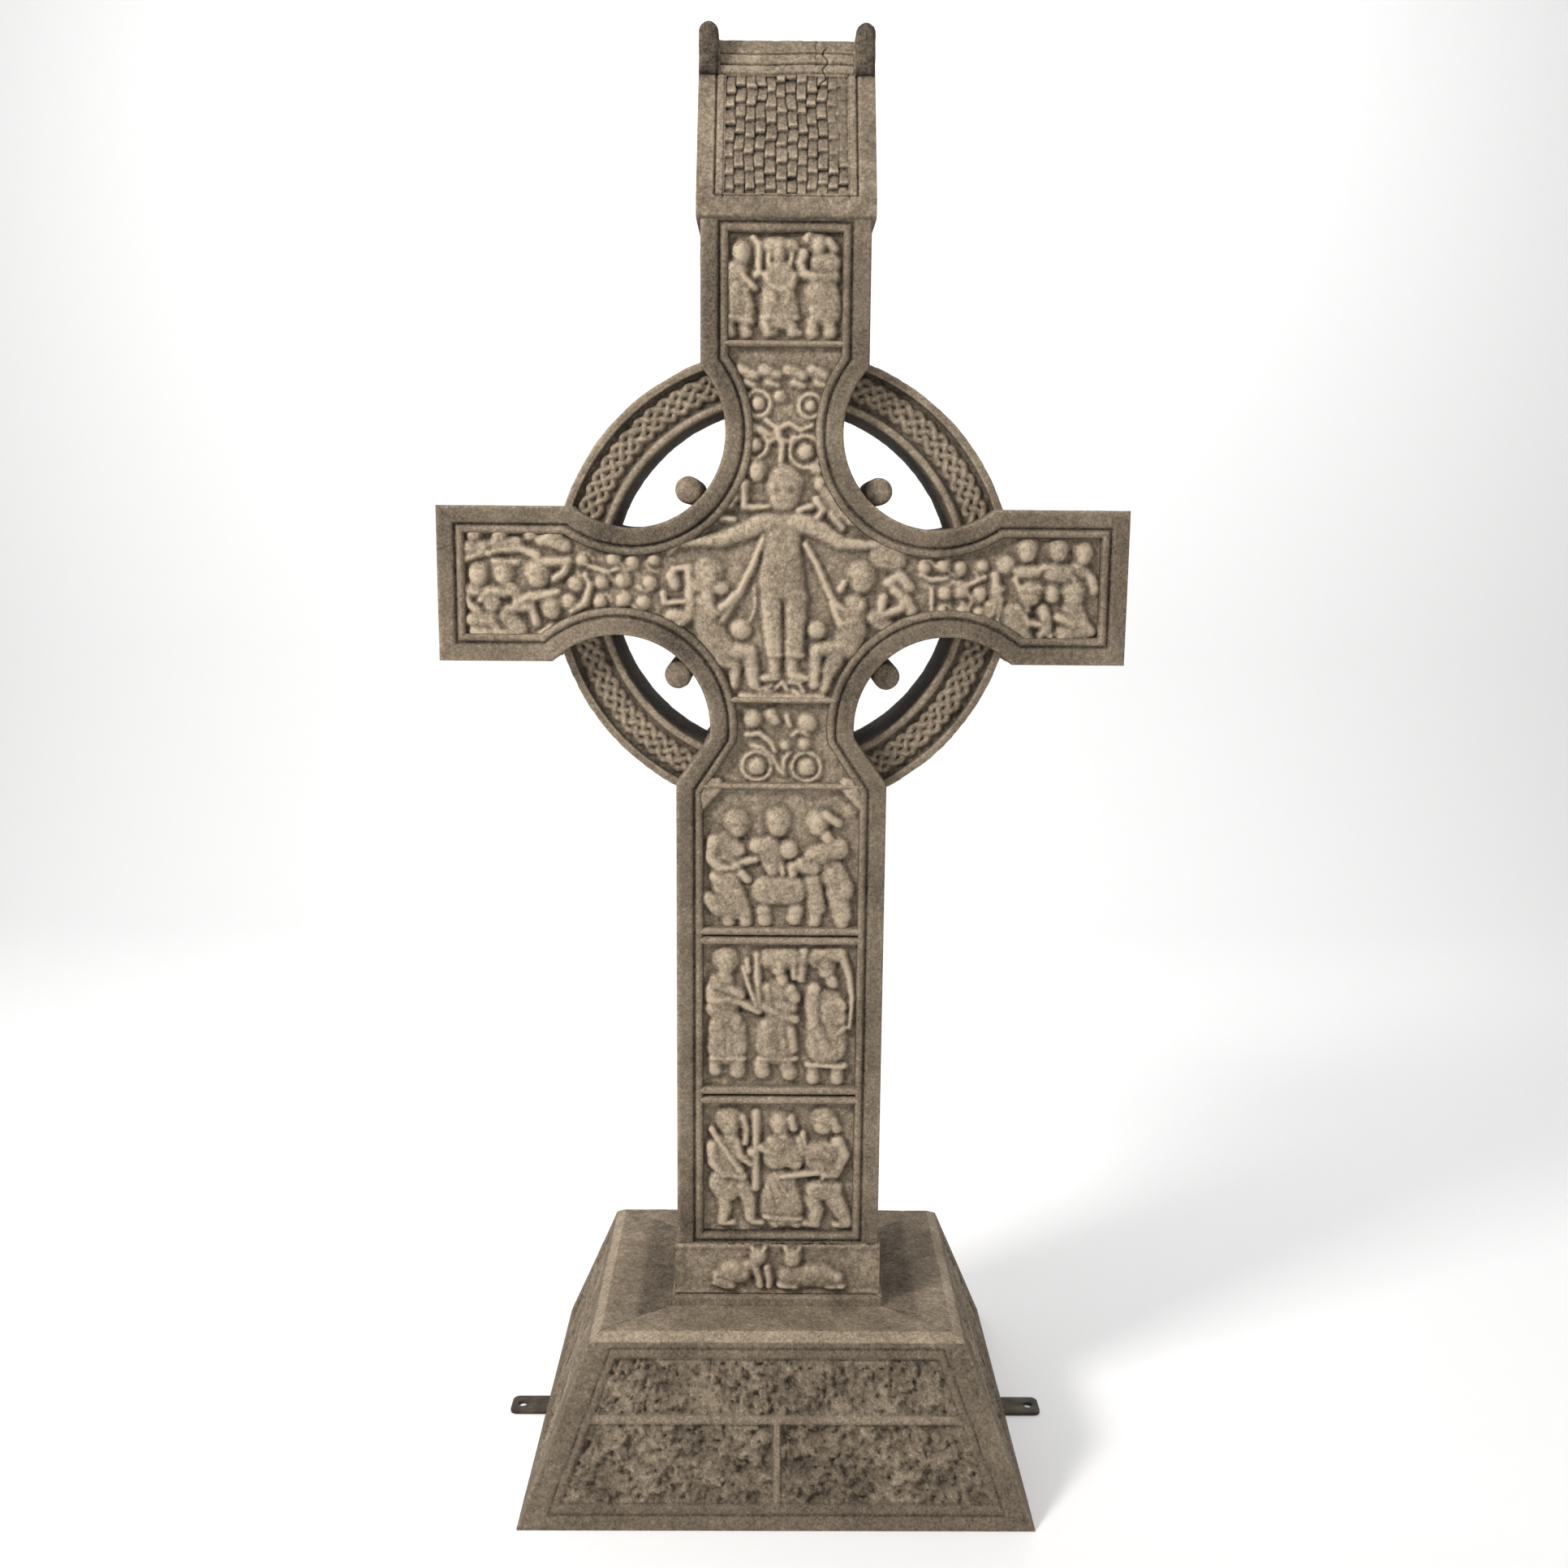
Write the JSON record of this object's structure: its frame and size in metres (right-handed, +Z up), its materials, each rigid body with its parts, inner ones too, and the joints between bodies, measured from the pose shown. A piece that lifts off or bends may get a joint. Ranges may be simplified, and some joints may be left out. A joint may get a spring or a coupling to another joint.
{
  "type": "ringed cross memorial",
  "caption": "Ringed high cross with carved panels, openings between arms and ring, a house-shaped cap and a sloping plinth with fixing lugs.",
  "frame": {"origin": "middle of the plinth's underside, on the ground", "axes": "+Z up the shaft, +X to the right seen from the front, the front with the carved figures faces -Y"},
  "size_m": [0.842, 0.545, 1.8121],
  "materials": {
    "cast_stone": "matt cast stone with an antique wash, dark in the recesses",
    "dark_steel": "dull dark brown steel strap"
  },
  "bodies": {
    "root": {"plinth": "cast_stone", "cross": "cast_stone", "fixing_lug_left": "dark_steel", "fixing_lug_right": "dark_steel"}
  },
  "joints": []
}
